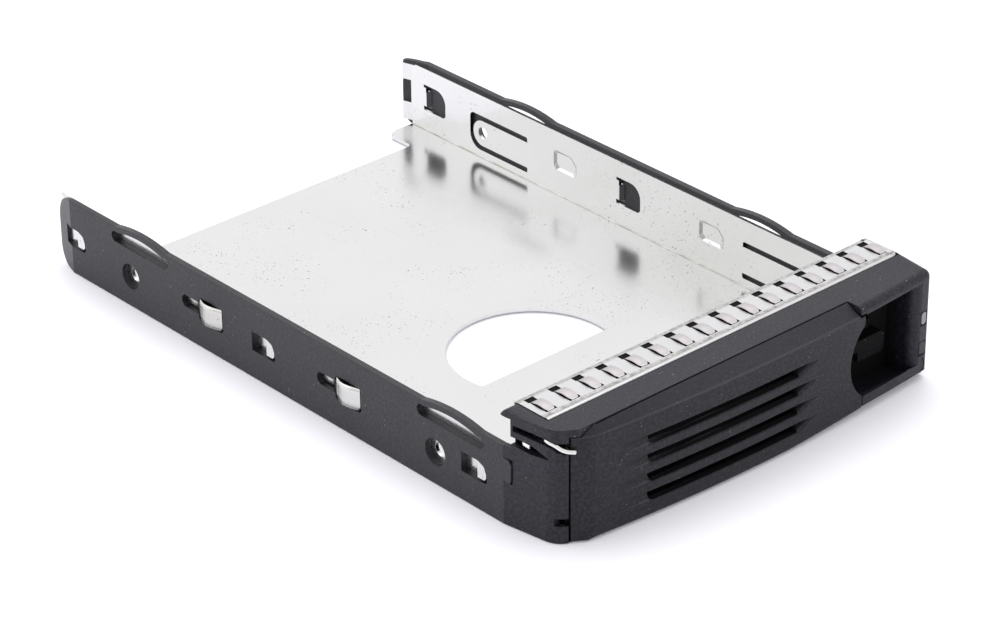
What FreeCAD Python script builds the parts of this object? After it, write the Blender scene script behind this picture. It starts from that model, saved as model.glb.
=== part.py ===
import FreeCAD, Part
import math
import os

# A caddy that carries a 3.5 inch drive in a hot swap bay: a folded steel tray, two plastic rails, and a bezel
# with an ejector lever.
# While it is drawn, x is 0 on the centre line, y is 0 at the front drive screw and z is 0 under the rails.
# The front faces -Y. At the end everything moves so that the origin is at the middle of the underside.
V = FreeCAD.Vector

# Drive screws
HOLE_PITCH = 101.6
HOLE_Z = 7.5
HOLE_DIA = 3.2

# Steel sheet, folded to a channel
SHEET = 0.87
BAY_W = 102.08
WALL_IN = BAY_W / 2
WALL_OUT = WALL_IN + SHEET
WALL_TOP = 17.24
FLOOR_TOP = 1.05
FLOOR_LOW = FLOOR_TOP - SHEET
BEND_R = 1.3
WALL_REAR = 127.2
TRAY_FRONT = -22.2
FLOOR_FRONT = -20.0
FLOOR_REAR = 118.3
EAR_X = WALL_IN - 8.04
EAR_REAR = 126.3
FLANGE_LEN = 2.64
FLANGE_LOW = 1.9
FLANGE_HIGH = 16.8
LEAN = math.radians(18.6)
WINDOW_X = -3.0
WINDOW_Y = 25.5
WINDOW_R = 18.9
WINDOW_EDGE = WINDOW_Y - 4.1
TONGUE_X = 30.0
TONGUE_FRONT = -30.5
TONGUE_RISE = 0.8

# Hook holes, hook tabs, screw tongues and pressed pads of each steel wall
HOOK_REARS = (122.05, 55.15, -11.8)
HOOK_LEN = 7.0
HOOK_LOW = 6.35
HOOK_HIGH = 13.05
HOOK_RELIEF = 0.8
TAB_LOW = 7.3
TAB_HIGH = 11.1
TAB_LEN = 3.5
TAB_JOG = 0.55
SLOT_W = 1.3
LOOP_PAST_HOLE = 4.5
LOOP_LEN = 20.0
LOOP_LOW = 2.85
LOOP_HIGH = 12.0
PAD_OUT = 0.45
PAD_FRONTS = (69.3, 21.5)
PAD_LEN = 7.7
PAD_LOW = 7.4
PAD_HIGH = 12.4
PAD_DRAFT = 0.7

# Rails
RAIL_T = 1.47
RAIL_GAP = 0.04
RAIL_IN = WALL_OUT + RAIL_GAP
RAIL_OUT = RAIL_IN + RAIL_T
RAIL_TOP = 18.05
RAIL_FRONT = -20.46
RAIL_REAR = 130.4
RAIL_TAPER = 123.4
TAPER_SLOPE = 0.3007
RAIL_KEY = 2.29
KEY_LOW = 10.0
KEY_HIGH = 15.35
ARCH_RISE = 1.05
ARCH_HALF = 9.0
ARCH_SLOT_HALF = 10.2
ARCH_SLOT_LOW = 14.34
ARCH_SLOT_HIGH = 16.9
LEFT_ARCHES = (97.65, -4.75)
RIGHT_ARCHES = (87.3, 11.4)
HOLE_CLEAR = 6.1
EYE_HALF = 3.85
EYE_LOW = 6.7
EYE_HIGH = 11.3
LEDGE_T = 0.42
LEAF_REARS = (83.1, 37.3)
NECK_LEN = 5.9
LEAF_LEN = 8.3

# Side springs, thin leaves that bow out of the rails
LEAF_T = 0.3
LEAF_PROUD = 0.98
LEAF_BOW = RAIL_OUT + LEAF_PROUD

# Bezel
TOP = 26.0
PLATE = 1.7
PLATE_LOW = TOP - PLATE
LIP_REAR = -19.15
LIP_LOW = TOP - 1.15
WALL_EDGE = -22.4
LEVER_EDGE = -35.9
BOW_X = 9.0
BOW_R = 463.0
BOW_Y = -40.5
MID_FRONT = -31.0
MID_T = 1.6
MID_REAR = MID_FRONT + MID_T
RECESS_W = 16.4
RECESS_RIGHT = RAIL_OUT - 6.52
RECESS_LEFT = RECESS_RIGHT - RECESS_W
STEP_X = RECESS_LEFT - 1.55
RECESS_LOW = 4.3
RECESS_HIGH = TOP - 2.1
CREASE_TOP = TOP - 2.0
CREASE_LOW = 2.0
SCREW_X = 22.0
SCREW_Y = -26.0
SCREW_R = 1.0
SCREW_HOLE = 2.7

# Lever
PIVOT_X = 8.82 - RAIL_OUT
PIVOT_Y = -33.3
MID_LEFT = PIVOT_X + 2.2
PIN_R = 1.0
PIN_RUN = 0.05
BARREL_R = 3.0
LEVER_EDGE_R = 4.215
GAP = 0.3
SKIN = 1.8
SCOOP_X = RECESS_LEFT + 6.46
SCOOP_Z = 13.0
SCOOP_R = 10.86
VENT_LEFT = PIVOT_X + 14.0
VENT_RIGHT = RECESS_LEFT - 20.2
VENT_FADE_LEFT = VENT_LEFT - 9.2
VENT_FADE_RIGHT = VENT_RIGHT + 7.3
VENT_TOPS = (19.5, 15.1, 10.7, 6.3)
VENT_H = 2.45
VENT_LEAD = 3.1

# Lever spring
WIRE_R = 0.5
COIL_X = PIVOT_X - 1.4
COIL_Y = PIVOT_Y + 6.0
COIL_R = 2.4
COIL_LOW = 20.3
COIL_HIGH = 22.6

# Release latch: it slides down against its spring
LATCH_TRAVEL = 2.8
STEM_W = 3.4
STEM_LEFT = RECESS_LEFT + 6.8
STEM_RIGHT = STEM_LEFT + STEM_W
STEM_LOW = 10.0
STEM_HIGH = 16.0
NOSE_FRONT = -34.4
NOSE_REAR = -33.2
CATCH_FRONT = -32.9
CATCH_REAR = -31.7
LATCH_SPRING_X = STEM_LEFT + STEM_W / 2
LATCH_SPRING_Y = -27.2
LATCH_SPRING_R = 1.5
SHELF_LOW = 9.6

# Contact strip with sprung fingers
STRIP_T = 0.2
STRIP_TOP = TOP - 0.12
STRIP_SEAT = STRIP_TOP - STRIP_T - 0.02
STRIP_LEFT = 4.42 - RAIL_OUT
STRIP_RIGHT = RAIL_OUT - 0.32
STRIP_FRONT = -28.9
STRIP_REAR = -18.9
FINGERS = 16
FINGER_PITCH = 6.4
FINGER_LEFT = STRIP_LEFT + 1.88
FINGER_W = 2.45
FINGER_ROOT = -26.2
FINGER_PEAK = -24.0
FINGER_END = -21.6
FINGER_RISE = 0.5

# Light pipes
PIPE_X = RAIL_OUT - 3.22
PIPE_REAR = -24.5
PILL_W = 1.6
PILL_LOW = 13.5
PILL_HIGH = 16.5
PANE_W = 2.1
PANE_LOW = 6.3
PANE_HIGH = 9.3


def at(plane, u, v, w):
    """The point (u, v) of a drawing plane that stands w along its normal."""
    if plane == "xy":
        return V(u, v, w)
    if plane == "yz":
        return V(w, u, v)
    return V(u, w, v)


def outline(plane, corners, w):
    """A closed wire through corners (u, v) or (u, v, size): a size rounds the corner, a negative one cuts it."""
    count = len(corners)
    edges = []
    last = None
    first = None
    for i in range(count):
        here = V(corners[i][0], corners[i][1], 0)
        before = V(corners[i - 1][0], corners[i - 1][1], 0)
        after = V(corners[(i + 1) % count][0], corners[(i + 1) % count][1], 0)
        size = corners[i][2] if len(corners[i]) > 2 else 0
        start = here
        end = here
        if size:
            to_before = (before - here).normalize()
            to_after = (after - here).normalize()
            half = to_before.getAngle(to_after) / 2
            reach = size / math.tan(half) if size > 0 else -size
            start = here + to_before * reach
            end = here + to_after * reach
        if last is not None and (start - last).Length > 1e-6:
            edges.append(Part.makeLine(at(plane, last.x, last.y, w), at(plane, start.x, start.y, w)))
        if size > 0:
            inward = (to_before + to_after).normalize()
            middle = here + inward * (size / math.sin(half) - size)
            arc = Part.Arc(
                at(plane, start.x, start.y, w), at(plane, middle.x, middle.y, w), at(plane, end.x, end.y, w))
            edges.append(arc.toShape())
        elif size < 0:
            edges.append(Part.makeLine(at(plane, start.x, start.y, w), at(plane, end.x, end.y, w)))
        if first is None:
            first = start
        last = end
    if (first - last).Length > 1e-6:
        edges.append(Part.makeLine(at(plane, last.x, last.y, w), at(plane, first.x, first.y, w)))
    return Part.Wire(edges)


def block(plane, corners, low, high):
    """A flat outline pushed from low to high along the plane's normal."""
    face = Part.Face(outline(plane, corners, low))
    return face.extrude(at(plane, 0, 0, high - low))


def box(x0, x1, y0, y1, z0, z1):
    return Part.makeBox(x1 - x0, y1 - y0, z1 - z0, V(x0, y0, z0))


def across(y, z, radius, x0, x1):
    """A round bar along x."""
    return Part.makeCylinder(radius, x1 - x0, V(x0, y, z), V(1, 0, 0))


def upright(x, y, radius, z0, z1):
    return Part.makeCylinder(radius, z1 - z0, V(x, y, z0))


def fuse(shapes):
    return shapes[0].multiFuse(shapes[1:]).removeSplitter()


def mirrored(shape):
    return shape.mirror(V(0, 0, 0), V(1, 0, 0))


def bow_front(x):
    """y of the bowed front face."""
    return BOW_Y + (x - BOW_X) ** 2 / (2 * BOW_R)


def hook_hole(rear):
    """The hole that a hook tab leaves, with a bend relief above and below its root."""
    front = rear - HOOK_LEN
    back = rear + HOOK_RELIEF
    corners = [(rear, 7.4), (back, 7.4), (back, HOOK_LOW), (front, HOOK_LOW, -0.7), (front, HOOK_HIGH, 3.3),
               (back, HOOK_HIGH), (back, 12.3), (rear, 12.3)]
    return block("yz", corners, WALL_IN - 2, WALL_OUT + 2)


def hook_tab(rear):
    """A tab that jogs out of the wall and runs forward in the window of the rail."""
    low_x = WALL_OUT + TAB_JOG
    high_x = low_x + SHEET
    plan = [(WALL_IN, rear + 0.05), (WALL_OUT, rear + 0.05), (high_x, rear - 0.95), (high_x, rear - TAB_LEN),
            (low_x, rear - TAB_LEN), (low_x, rear - 1.1), (WALL_IN, rear - 0.1)]
    front = rear - TAB_LEN
    side = [(rear + 1, TAB_LOW), (front, TAB_LOW, -0.6), (front, TAB_HIGH - 2.2), (front + 0.65, TAB_HIGH - 0.65),
            (front + 2.2, TAB_HIGH), (rear + 1, TAB_HIGH)]
    return block("xy", plan, TAB_LOW, TAB_HIGH).common(block("yz", side, WALL_IN - 1, RAIL_OUT + 1))


def folded_face(offset, reach):
    """Fold and end, in plan, of a face that stands offset outside the inner wall and leans inward at the rear."""
    fold = (WALL_IN + offset, WALL_REAR + offset * math.tan(LEAN / 2))
    end_x = WALL_IN + offset * math.cos(LEAN) - reach * math.sin(LEAN)
    end_y = WALL_REAR + offset * math.sin(LEAN) + reach * math.cos(LEAN)
    return fold, (end_x, end_y)


def screw_tongue(hole_y, way):
    """A slot that bends round a drive screw hole and leaves a springy tongue; way is +1 for a loop at the rear."""
    loop = hole_y + way * LOOP_PAST_HOLE
    end = loop - way * LOOP_LEN
    outer = [(end, LOOP_LOW, -0.3), (loop, LOOP_LOW, 3.6), (loop, LOOP_HIGH, 1.3), (end, LOOP_HIGH, -0.3)]
    low = LOOP_LOW + SLOT_W
    high = LOOP_HIGH - SLOT_W
    tip = loop - way * (SLOT_W - 0.2)
    radius = (high - low) / 2 - 0.05
    inner = [(end - way, low), (tip, low, radius), (tip, high, radius), (end - way, high)]
    slot = block("yz", outer, WALL_IN - 3, WALL_OUT + 3)
    return slot.cut(block("yz", inner, WALL_IN - 4, WALL_OUT + 4))


def pad_outline(front, inset):
    """The outline of a pressed pad, drawn in by inset on every side."""
    rear = front + PAD_LEN - inset
    low = PAD_LOW + inset
    high = PAD_HIGH - inset
    return [(front + inset, low, -0.8), (rear, low, -1.0), (rear, high, -0.5), (front + inset, high, -1.8)]


def pad_form(front, x_low, x_high):
    """A pad with sloped sides from x_low, where it is widest, to x_high."""
    wide = outline("yz", pad_outline(front, 0), x_low)
    narrow = outline("yz", pad_outline(front, PAD_DRAFT), x_high)
    return Part.makeLoft([wide, narrow], True, True)


def make_tray():
    inner_r = BEND_R - SHEET
    section = [(-WALL_OUT, WALL_TOP), (-WALL_OUT, FLOOR_LOW, BEND_R), (WALL_OUT, FLOOR_LOW, BEND_R),
               (WALL_OUT, WALL_TOP), (WALL_IN, WALL_TOP), (WALL_IN, FLOOR_TOP, inner_r),
               (-WALL_IN, FLOOR_TOP, inner_r), (-WALL_IN, WALL_TOP)]
    channel = block("xz", section, TRAY_FRONT, WALL_REAR)
    tip_x = EAR_X + 3.5
    tip_y = EAR_REAR + 1.0
    ears = [(-tip_x, tip_y), (-EAR_X, EAR_REAR, 1.5), (-EAR_X, FLOOR_REAR, -0.9), (EAR_X, FLOOR_REAR, -0.9),
            (EAR_X, EAR_REAR, 1.5), (tip_x, tip_y), (tip_x, tip_y + 10), (-tip_x, tip_y + 10)]
    half = math.sqrt(WINDOW_R ** 2 - (WINDOW_Y - WINDOW_EDGE) ** 2)
    left = V(WINDOW_X - half, WINDOW_EDGE, -2)
    right = V(WINDOW_X + half, WINDOW_EDGE, -2)
    arc = Part.Arc(right, V(WINDOW_X, WINDOW_Y + WINDOW_R, -2), left).toShape()
    window = Part.Face(Part.Wire([arc, Part.makeLine(left, right)])).extrude(V(0, 0, 6))
    corners = [edge for edge in window.Edges if abs(edge.Vertexes[0].X - edge.Vertexes[-1].X) < 0.01]
    window = window.makeFillet(0.9, corners)
    cuts = [block("xy", ears, -1, 3), window, box(-WALL_OUT - 1, WALL_OUT + 1, -30, FLOOR_FRONT, -1, 2.5)]
    cuts += [upright(x, SCREW_Y, SCREW_HOLE / 2, -1, 4) for x in (-SCREW_X, SCREW_X)]

    tongue = [(FLOOR_FRONT + 0.2, FLOOR_LOW), (FLOOR_FRONT + 0.2, FLOOR_TOP), (FLOOR_FRONT - 0.6, FLOOR_TOP),
              (FLOOR_FRONT - 1.6, FLOOR_TOP + TONGUE_RISE), (TONGUE_FRONT, FLOOR_TOP + TONGUE_RISE),
              (TONGUE_FRONT, FLOOR_LOW + TONGUE_RISE), (FLOOR_FRONT - 1.3, FLOOR_LOW + TONGUE_RISE),
              (FLOOR_FRONT - 0.3, FLOOR_LOW)]
    tongue = block("yz", tongue, -TONGUE_X, TONGUE_X).cut(cuts[3:])

    inner_fold, inner_end = folded_face(0, FLANGE_LEN)
    outer_fold, outer_end = folded_face(SHEET, FLANGE_LEN)
    flange = [(WALL_IN, WALL_REAR - 0.1), inner_fold, inner_end, outer_end, outer_fold, (WALL_OUT, WALL_REAR - 0.1)]
    flange = block("xy", flange, FLANGE_LOW, FLANGE_HIGH)
    notch = box(WALL_IN - 3, WALL_OUT + 1, WALL_REAR + 0.2, WALL_REAR + 5, 6.6, 12.6)
    side_adds = [flange.cut(notch)]
    side_cuts = [screw_tongue(HOLE_PITCH, 1), screw_tongue(0, -1)]
    for rear in HOOK_REARS:
        side_cuts.append(hook_hole(rear))
        side_adds.append(hook_tab(rear))
    for front in PAD_FRONTS:
        dent = pad_form(front, WALL_IN, WALL_IN + PAD_OUT)
        side_cuts.append(dent)
        side_adds.append(pad_form(front, WALL_OUT - 0.05, WALL_OUT + PAD_OUT).cut(dent))
    for y in (0, HOLE_PITCH):
        side_cuts.append(across(y, HOLE_Z, HOLE_DIA / 2, WALL_IN - 1, WALL_OUT + 1))
    body = channel.cut(cuts + side_cuts + [mirrored(cut) for cut in side_cuts])
    return body.multiFuse([tongue] + side_adds + [mirrored(add) for add in side_adds]).removeSplitter()


def arch(y, half, low, rise, x0, x1):
    """A flat bow along a rail, half long to each side of y, that rises from low."""
    ends = (V(x0, y - half, low), V(x0, y + half, low))
    bow = Part.Arc(ends[0], V(x0, y, low + rise), ends[1]).toShape()
    return Part.Face(Part.Wire([bow, Part.makeLine(ends[1], ends[0])])).extrude(V(x1 - x0, 0, 0))


def make_rail(side, arches):
    """The right rail when side is 1, the left one when side is -1; arches gives the y of its sprung arches."""
    body = [(RAIL_FRONT, 0), (RAIL_FRONT, KEY_LOW), (RAIL_FRONT - RAIL_KEY, KEY_LOW, -0.5),
            (RAIL_FRONT - RAIL_KEY, KEY_HIGH, -0.8), (RAIL_FRONT, KEY_HIGH), (RAIL_FRONT, RAIL_TOP),
            (RAIL_REAR, RAIL_TOP, 7.2), (RAIL_REAR, 0, 4.2)]
    fold, end = folded_face(SHEET + RAIL_GAP, 4.0)
    taper_end = (RAIL_OUT - TAPER_SLOPE * (end[1] - RAIL_TAPER), end[1])
    plan = [(RAIL_IN, -40), fold, end, taper_end, (RAIL_OUT, RAIL_TAPER), (RAIL_OUT, -40)]
    rail = block("yz", body, RAIL_IN - 2, RAIL_OUT).common(block("xy", plan, -1, RAIL_TOP + 1))
    adds = []
    cuts = []
    for y in arches:
        adds.append(arch(y, ARCH_HALF, RAIL_TOP - 0.02, ARCH_RISE, RAIL_IN, RAIL_OUT))
        r = (ARCH_SLOT_HIGH - ARCH_SLOT_LOW) / 2 - 0.02
        slot = [(y - ARCH_SLOT_HALF, ARCH_SLOT_LOW, r), (y + ARCH_SLOT_HALF, ARCH_SLOT_LOW, r),
                (y + ARCH_SLOT_HALF, ARCH_SLOT_HIGH, r), (y - ARCH_SLOT_HALF, ARCH_SLOT_HIGH, r)]
        cuts.append(block("yz", slot, RAIL_IN - 1, RAIL_OUT + 1))
        cuts.append(arch(y, ARCH_HALF - 1, ARCH_SLOT_HIGH - 0.05, ARCH_RISE, RAIL_IN - 1, RAIL_OUT + 1))
    for rear in HOOK_REARS:
        eye = [(rear - EYE_HALF, EYE_LOW, -0.5), (rear + EYE_HALF, EYE_LOW), (rear + EYE_HALF, EYE_HIGH),
               (rear - EYE_HALF, EYE_HIGH, 3.0)]
        cuts.append(block("yz", eye, RAIL_IN - 1, RAIL_OUT + 1))
    for rear in LEAF_REARS:
        neck = rear - NECK_LEN
        foot_room = [(neck - 1, 8.0), (rear, 8.0, -0.9), (rear, 10.9, -0.9), (neck - 1, 10.9)]
        blade_room = [(neck - LEAF_LEN, 6.4, -0.6), (neck, 6.4, -0.6), (neck, 12.2, -0.6),
                      (neck - LEAF_LEN, 12.2, -0.6)]
        cuts.append(block("yz", foot_room, RAIL_IN - 1, RAIL_OUT + 1))
        cuts.append(block("yz", blade_room, RAIL_IN - 1, RAIL_OUT + 1))
    for y in (0, HOLE_PITCH):
        cuts.append(across(y, HOLE_Z, HOLE_CLEAR / 2, RAIL_IN - 1, RAIL_OUT + 1))
    for front in PAD_FRONTS:
        cuts.append(block("yz", pad_outline(front, -0.3), RAIL_IN - 1, RAIL_IN + PAD_OUT))
    rail = rail.multiFuse(adds).cut(cuts)
    ledges = [box(RAIL_IN, RAIL_IN + LEDGE_T, rear - EYE_HALF - 0.2, rear - 1.15, EYE_LOW + 0.05, EYE_HIGH - 0.05)
              for rear in HOOK_REARS]
    rail = rail.multiFuse(ledges).removeSplitter()
    return rail if side > 0 else mirrored(rail)


def make_leaf(rear):
    """A side spring: its foot lies on the steel wall and its blade bows out through the rail."""
    foot = WALL_OUT + 0.02
    neck = rear - NECK_LEN
    blade = [(foot, rear - 0.5), (foot, neck + 0.6), (LEAF_BOW - LEAF_T, neck - 3.2, 2.2),
             (RAIL_OUT - LEAF_T + 0.1, neck - 7.6), (RAIL_OUT + 0.1, neck - 7.6), (LEAF_BOW, neck - 3.2, 2.4),
             (foot + LEAF_T, neck + 0.6), (foot + LEAF_T, rear - 0.5)]
    narrow = [(rear + 1, 8.3), (rear + 1, 10.6), (neck + 0.2, 10.6), (neck - 0.4, 11.9), (neck - 9, 11.9),
              (neck - 9, 6.7), (neck - 0.4, 6.7), (neck + 0.2, 8.3)]
    return block("xy", blade, 6, 13).common(block("yz", narrow, WALL_IN, LEAF_BOW + 1))


def front_wedge(low, high, back):
    """The sloped band between a bowed crease at height low and a straight edge at height high."""
    x0 = -60.0
    x1 = 60.0
    drop = BOW_R - math.sqrt(BOW_R ** 2 - (x0 - BOW_X) ** 2)
    drop_right = BOW_R - math.sqrt(BOW_R ** 2 - (x1 - BOW_X) ** 2)
    start = V(x0, BOW_Y + drop, low)
    end = V(x1, BOW_Y + drop_right, low)
    bow = Part.Arc(start, V(BOW_X, BOW_Y, low), end).toShape()
    low_wire = Part.Wire([bow, Part.makeLine(end, V(x1, back, low)),
                          Part.makeLine(V(x1, back, low), V(x0, back, low)),
                          Part.makeLine(V(x0, back, low), start)])
    edge = LEVER_EDGE
    high_wire = Part.Wire([Part.makeLine(V(x0, edge, high), V(x1, edge, high)),
                           Part.makeLine(V(x1, edge, high), V(x1, back, high)),
                           Part.makeLine(V(x1, back, high), V(x0, back, high)),
                           Part.makeLine(V(x0, back, high), V(x0, edge, high))])
    return Part.makeLoft([low_wire, high_wire], True, True)


def bow_solid(inset, low, high):
    return Part.makeCylinder(BOW_R - inset, high - low, V(BOW_X, BOW_Y + BOW_R, low))


def front_form(inset, low, high):
    """The full front form behind the bowed face, with its sloped top and bottom bands."""
    crease_high = CREASE_TOP - inset * 0.8
    crease_low = CREASE_LOW + inset * 0.8
    middle = bow_solid(inset, crease_low, crease_high).common(box(-60, 60, -45, -25, crease_low, crease_high))
    upper = front_wedge(crease_high, high, -25).translated(V(0, inset, 0))
    lower = front_wedge(crease_low, low, -25).translated(V(0, inset, 0))
    return middle.multiFuse([upper, lower])


def make_bezel():
    left = -RAIL_OUT
    side = [(left, LIP_REAR, 0.8), (left, -20.6), (left + 2.07, -33.75, 5.0), (PIVOT_X - 4.3, -34.75),
            (PIVOT_X - 2.6, LEVER_EDGE, 0.6), (STEP_X, LEVER_EDGE, 0.5), (STEP_X, -50), (RAIL_OUT - 2.52, -50),
            (RAIL_OUT, -27.8, 8.0), (RAIL_OUT, LIP_REAR, 0.8)]
    body = block("xy", side, 0, TOP).common(bow_solid(0, -1, TOP + 1))
    sharp = [edge for edge in body.Edges if abs(edge.Vertexes[0].X - edge.Vertexes[-1].X) < 0.01
             and edge.Length > 20 and edge.Vertexes[0].X > RAIL_OUT - 3.4 and edge.Vertexes[0].Y < -36]
    body = body.makeFillet(1.6, sharp)
    rim = [edge for edge in body.Edges if edge.CenterOfMass.z > TOP - 0.01 and edge.CenterOfMass.x > STEP_X + 0.5
           and edge.CenterOfMass.y < -37.5]
    body = body.makeFillet(1.7, rim)

    rear_room = [(-RAIL_IN, -10), (-RAIL_IN, -22.9), (left + 2.92, -28.2), (left + 3.02, MID_REAR),
                 (RAIL_OUT - 1.82, MID_REAR), (RAIL_OUT - 1.62, -24.5), (RAIL_IN, -22.9), (RAIL_IN, -10)]
    left_room = [(left + 2.92, -28.2), (left + 3.27, -31.2), (left + 4.07, -33.2, 1.5), (left + 5.42, -34.0),
                 (left + 5.42, -50), (MID_LEFT, -50), (MID_LEFT, -28.0)]
    cuts = [
        block("xy", rear_room, PLATE, PLATE_LOW),
        block("xy", left_room, PLATE, PLATE_LOW),
        box(MID_LEFT - 1, RECESS_LEFT, -50, MID_FRONT, PLATE, PLATE_LOW),
        box(RECESS_LEFT - 1, RECESS_RIGHT, -38.8, MID_FRONT, PLATE, RECESS_HIGH),
        block("xz", [(RECESS_LEFT - 1, RECESS_LOW), (RECESS_RIGHT, RECESS_LOW, 2.0),
                     (RECESS_RIGHT, RECESS_HIGH, 1.5), (RECESS_LEFT - 1, RECESS_HIGH)], -50, -38.5),
        box(STEP_X - 1, RECESS_LEFT, -50, LEVER_EDGE, -1, RECESS_HIGH),
        box(-60, 60, -20.46, -10, -1, LIP_LOW),
        box(-60, 60, WALL_EDGE, -10, RAIL_TOP + 0.12, LIP_LOW),
        box(-TONGUE_X - 0.4, TONGUE_X + 0.4, TONGUE_FRONT - 0.4, -10, -1, PLATE + 0.25),
        box(STRIP_LEFT - 0.25, 60, STRIP_FRONT - 0.25, -10, STRIP_SEAT, 30),
    ]
    key_room = box(WALL_OUT + 0.02, 60, RAIL_FRONT - RAIL_KEY - 0.1, -10, KEY_LOW - 0.1, KEY_HIGH + 0.1)
    cheek = [(RECESS_RIGHT - 1, -50), (RECESS_RIGHT - 1, -36), (RECESS_RIGHT, -36), (RECESS_RIGHT, -38.97, 2.4),
             (RECESS_RIGHT + 4.1, -38.62), (RECESS_RIGHT + 4.1, -50)]
    cuts += [key_room, mirrored(key_room), block("xy", cheek, RECESS_LOW, RECESS_HIGH)]
    body = body.cut(cuts)

    adds = [
        box(-TONGUE_X - 3, TONGUE_X + 3, TONGUE_FRONT - 1.5, RAIL_FRONT, PLATE + 0.25, 3.4),
        box(MID_LEFT, MID_LEFT + 1.4, MID_FRONT, -23.5, PLATE - 0.2, PLATE_LOW + 0.2),
        box(COIL_X - 1.1, COIL_X + 1.1, COIL_Y - 1.1, COIL_Y + 1.1, PLATE - 0.2, PLATE_LOW + 0.2),
        box(LATCH_SPRING_X - 0.7, LATCH_SPRING_X + 0.7, LATCH_SPRING_Y - 0.7, LATCH_SPRING_Y + 0.7, PLATE - 0.2, 4.2),
    ]
    for x in (-14.5, 13.5, RECESS_LEFT + 0.7, RECESS_RIGHT):
        adds.append(box(x, x + 1.4, MID_FRONT, -22.6, PLATE - 0.2, PLATE_LOW + 0.2))
    for x in (-SCREW_X, SCREW_X):
        adds.append(box(x - 2.6, x + 2.6, SCREW_Y - 2.6, SCREW_Y + 2.6, 3.2, 9.5))
    body = body.multiFuse(adds)

    holes = []
    for x0, x1 in ((MID_LEFT + 2.9, -16.5), (-11.5, 11.5), (16.5, RECESS_LEFT - 1.0)):
        vent_hole = [(x0, 14.0, -0.8), (x1, 14.0, -0.8), (x1, 21.5, -0.8), (x0, 21.5, -0.8)]
        holes.append(block("xz", vent_hole, MID_FRONT - 1, MID_REAR + 1))
    holes.append(box(STEM_LEFT - 0.3, STEM_RIGHT + 0.3, -32, -28.5, STEM_LOW - LATCH_TRAVEL - 0.3, STEM_HIGH + 0.3))
    for x in (-SCREW_X, SCREW_X):
        holes.append(upright(x, SCREW_Y, SCREW_R + 0.02, 1, 8.5))
    slot_a = [(-22.9, 23.7), (-29.8, 23.6), (-33.0, 23.05), (-36.5, 22.9), (-36.5, 20.5), (-33.2, 20.9),
              (-32.2, 21.8), (-29.0, 22.1), (-22.9, 22.3)]
    slot_b = [(-22.0, 20.95), (-27.2, 20.9), (-31.6, 19.3), (-31.6, 18.9), (-27.2, 18.65), (-22.0, 19.2)]
    holes.append(block("yz", slot_a, left - 3, left + 4.12))
    holes.append(block("yz", slot_b, left - 3, left + 4.12))
    holes.append(box(left + 3.4, left + 6.4, -36, -33.2, 20.5, 23.0))
    holes.append(box(left + 1.4, left + 6.4, -37, -32.7, 3.95, 5.7))
    holes.append(upright(PIVOT_X, PIVOT_Y, PIN_R, 0.5, TOP - 0.5))
    relief = upright(PIVOT_X, PIVOT_Y, LEVER_EDGE_R + 0.33, -1, PLATE_LOW)
    lug = upright(PIVOT_X, PIVOT_Y, 2.1, -2, PLATE)
    relief_plan = block("xy", [(left + 1.4, -28), (left + 5.4, -28), (PIVOT_X, PIVOT_Y), (PIVOT_X + 2.6, PIVOT_Y),
                               (PIVOT_X + 2.6, -40), (left + 1.4, -40)], -2, PLATE_LOW)
    lug_neck = block("xy", [(PIVOT_X - 1.4, PIVOT_Y), (PIVOT_X + 2.65, PIVOT_Y - 0.8), (PIVOT_X + 2.65, -30),
                            (PIVOT_X - 1.4, -30)], -2, PLATE)
    relief = relief.common(relief_plan).cut([lug, lug_neck])
    holes.append(relief)
    lower = box(-60, 60, -50, -25, -2, CREASE_LOW + 0.3).cut(front_form(0, 0, TOP))
    holes.append(lower)
    pill_r = PILL_W / 2 - 0.01
    holes.append(block("xz", [(PIPE_X - PILL_W / 2, PILL_LOW, pill_r), (PIPE_X + PILL_W / 2, PILL_LOW, pill_r),
                              (PIPE_X + PILL_W / 2, PILL_HIGH, pill_r), (PIPE_X - PILL_W / 2, PILL_HIGH, pill_r)],
                       -45, -28))
    holes.append(box(PIPE_X - PANE_W / 2, PIPE_X + PANE_W / 2, -45, -28, PANE_LOW, PANE_HIGH))
    return body.cut(holes).removeSplitter()


def vent(top):
    """One lever vent: a slot with a sloped lead below, and at each end a groove that fades into the face."""
    centre = V(BOW_X, BOW_Y + BOW_R, 0)

    def ring_point(radius, x, z):
        angle = math.asin((x - BOW_X) / BOW_R)
        return V(BOW_X + radius * math.sin(angle), centre.y - radius * math.cos(angle), z)

    def section(x):
        outer = BOW_R + 0.4
        inner = BOW_R - 1.25
        points = [ring_point(outer, x, top), ring_point(inner, x, top), ring_point(outer, x, top - VENT_LEAD - 0.6)]
        return Part.Wire(Part.makePolygon(points + [points[0]]))

    span = math.degrees(math.asin((VENT_RIGHT - BOW_X) / BOW_R) - math.asin((VENT_LEFT - BOW_X) / BOW_R))
    lead = Part.Face(section(VENT_LEFT)).revolve(centre, V(0, 0, 1), span)
    pieces = [lead]
    for x, fade in ((VENT_LEFT, VENT_FADE_LEFT), (VENT_RIGHT, VENT_FADE_RIGHT)):
        tip = Part.Vertex(ring_point(BOW_R + 0.35, fade, top - 0.4))
        pieces.append(Part.makeLoft([section(x), tip], True, True))
    slot = [(VENT_LEFT, top, 1.1), (VENT_RIGHT, top), (VENT_RIGHT, top - VENT_H), (VENT_LEFT, top - VENT_H, 1.1)]
    pieces.append(block("xz", slot, -45, -36))
    return pieces


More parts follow.
